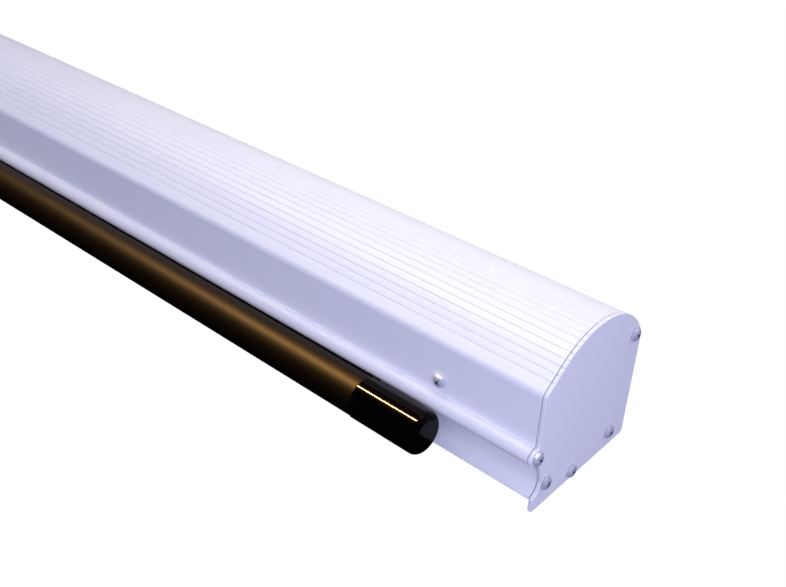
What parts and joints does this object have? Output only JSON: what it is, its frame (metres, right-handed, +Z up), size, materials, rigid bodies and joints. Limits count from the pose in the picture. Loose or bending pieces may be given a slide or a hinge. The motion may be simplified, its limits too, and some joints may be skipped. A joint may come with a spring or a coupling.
{
  "type": "motorized projector screen",
  "caption": "Wall-mounted motorized projector screen: a white grooved case with a roller, a tubular motor and a black weight bar that draws the fabric down in front.",
  "frame": {"origin": "middle of the case's flat back, which lies on the wall", "axes": "+X along the case to the right as seen from the viewers, +Y into the wall, +Z up; the fabric comes down at the front, towards -Y"},
  "size_m": [2.4994, 0.1025, 0.0837],
  "materials": {
    "white_powder_coat": "satin",
    "bar_fabric": "satin",
    "gloss_black_plastic": "gloss",
    "screen_fabric": "matte",
    "screw_steel": "satin",
    "zinc_steel": "satin",
    "bare_aluminium": "satin",
    "white_plastic": "satin",
    "grey_plastic": "satin",
    "black_plastic": "satin",
    "board_green": "satin",
    "relay_blue": "satin",
    "window_red": "gloss"
  },
  "bodies": {
    "case": {"case_shell": "white_powder_coat", "end_plate_right": "white_powder_coat", "end_plate_left": "white_powder_coat", "plate_screw_right_rail": "screw_steel", "plate_screw_right_nose": "screw_steel", "plate_screw_right_floor": "screw_steel", "plate_screw_right_back": "screw_steel", "plate_screw_right_top": "screw_steel", "plate_screw_left_rail": "screw_steel", "plate_screw_left_nose": "screw_steel", "plate_screw_left_floor": "screw_steel", "plate_screw_left_back": "screw_steel", "plate_screw_left_top": "screw_steel", "front_screw_right": "screw_steel", "front_screw_left": "screw_steel", "idler_bracket": "zinc_steel", "idler_pin": "screw_steel", "idler_pin_nut": "zinc_steel", "motor_bracket": "zinc_steel", "motor_head": "black_plastic", "motor_head_screw_front": "screw_steel", "motor_head_screw_rear": "screw_steel", "motor_housing": "zinc_steel", "motor_gearbox": "zinc_steel", "motor_core": "zinc_steel", "motor_capacitor": "grey_plastic", "motor_lead": "black_plastic", "fabric_feed": "screen_fabric", "control_housing": "black_plastic", "control_lid": "black_plastic", "control_board": "board_green", "control_socket": "black_plastic", "relay_up": "relay_blue", "relay_down": "relay_blue", "board_transformer": "black_plastic", "terminal_block": "grey_plastic", "mains_gland": "black_plastic", "mains_gland_nut": "black_plastic", "infrared_window": "window_red", "infrared_receiver": "black_plastic"},
    "roller": {"roller_tube": "bare_aluminium", "fabric_roll": "screen_fabric", "idler_plug": "white_plastic", "idler_bearing": "zinc_steel", "output_shaft": "zinc_steel", "drive_wheel": "white_plastic", "crown_ring": "white_plastic"},
    "bar": {"weight_bar": "zinc_steel", "bar_hem": "bar_fabric", "bar_cap_right": "gloss_black_plastic", "bar_cap_left": "gloss_black_plastic", "fabric_drop": "screen_fabric"},
    "upper_limit": {"limit_screw_up": "white_plastic"},
    "lower_limit": {"limit_screw_down": "relay_blue"}
  },
  "joints": [
    {"name": "roller_spin", "type": "hinge", "parent": "case", "child": "roller", "pos_m": [0, -0.0392, 0.00817], "axis": [1, 0, 0], "range_deg": [0, 3301]},
    {"name": "bar_drop", "type": "slide", "parent": "case", "child": "bar", "axis": [0, 0, -1], "range_m": [0, 1.6], "deforming": ["fabric_drop"]},
    {"name": "upper_limit_turn", "type": "hinge", "parent": "case", "child": "upper_limit", "pos_m": [-1.127, -0.0392, 0.01417], "axis": [1, 0, 0], "continuous": true},
    {"name": "lower_limit_turn", "type": "hinge", "parent": "case", "child": "lower_limit", "pos_m": [-1.127, -0.0392, 0.00217], "axis": [1, 0, 0], "continuous": true}
  ],
  "couplings": [
    {"joint": "roller_spin", "follows": "bar_drop", "rad_per_m": 36}
  ]
}
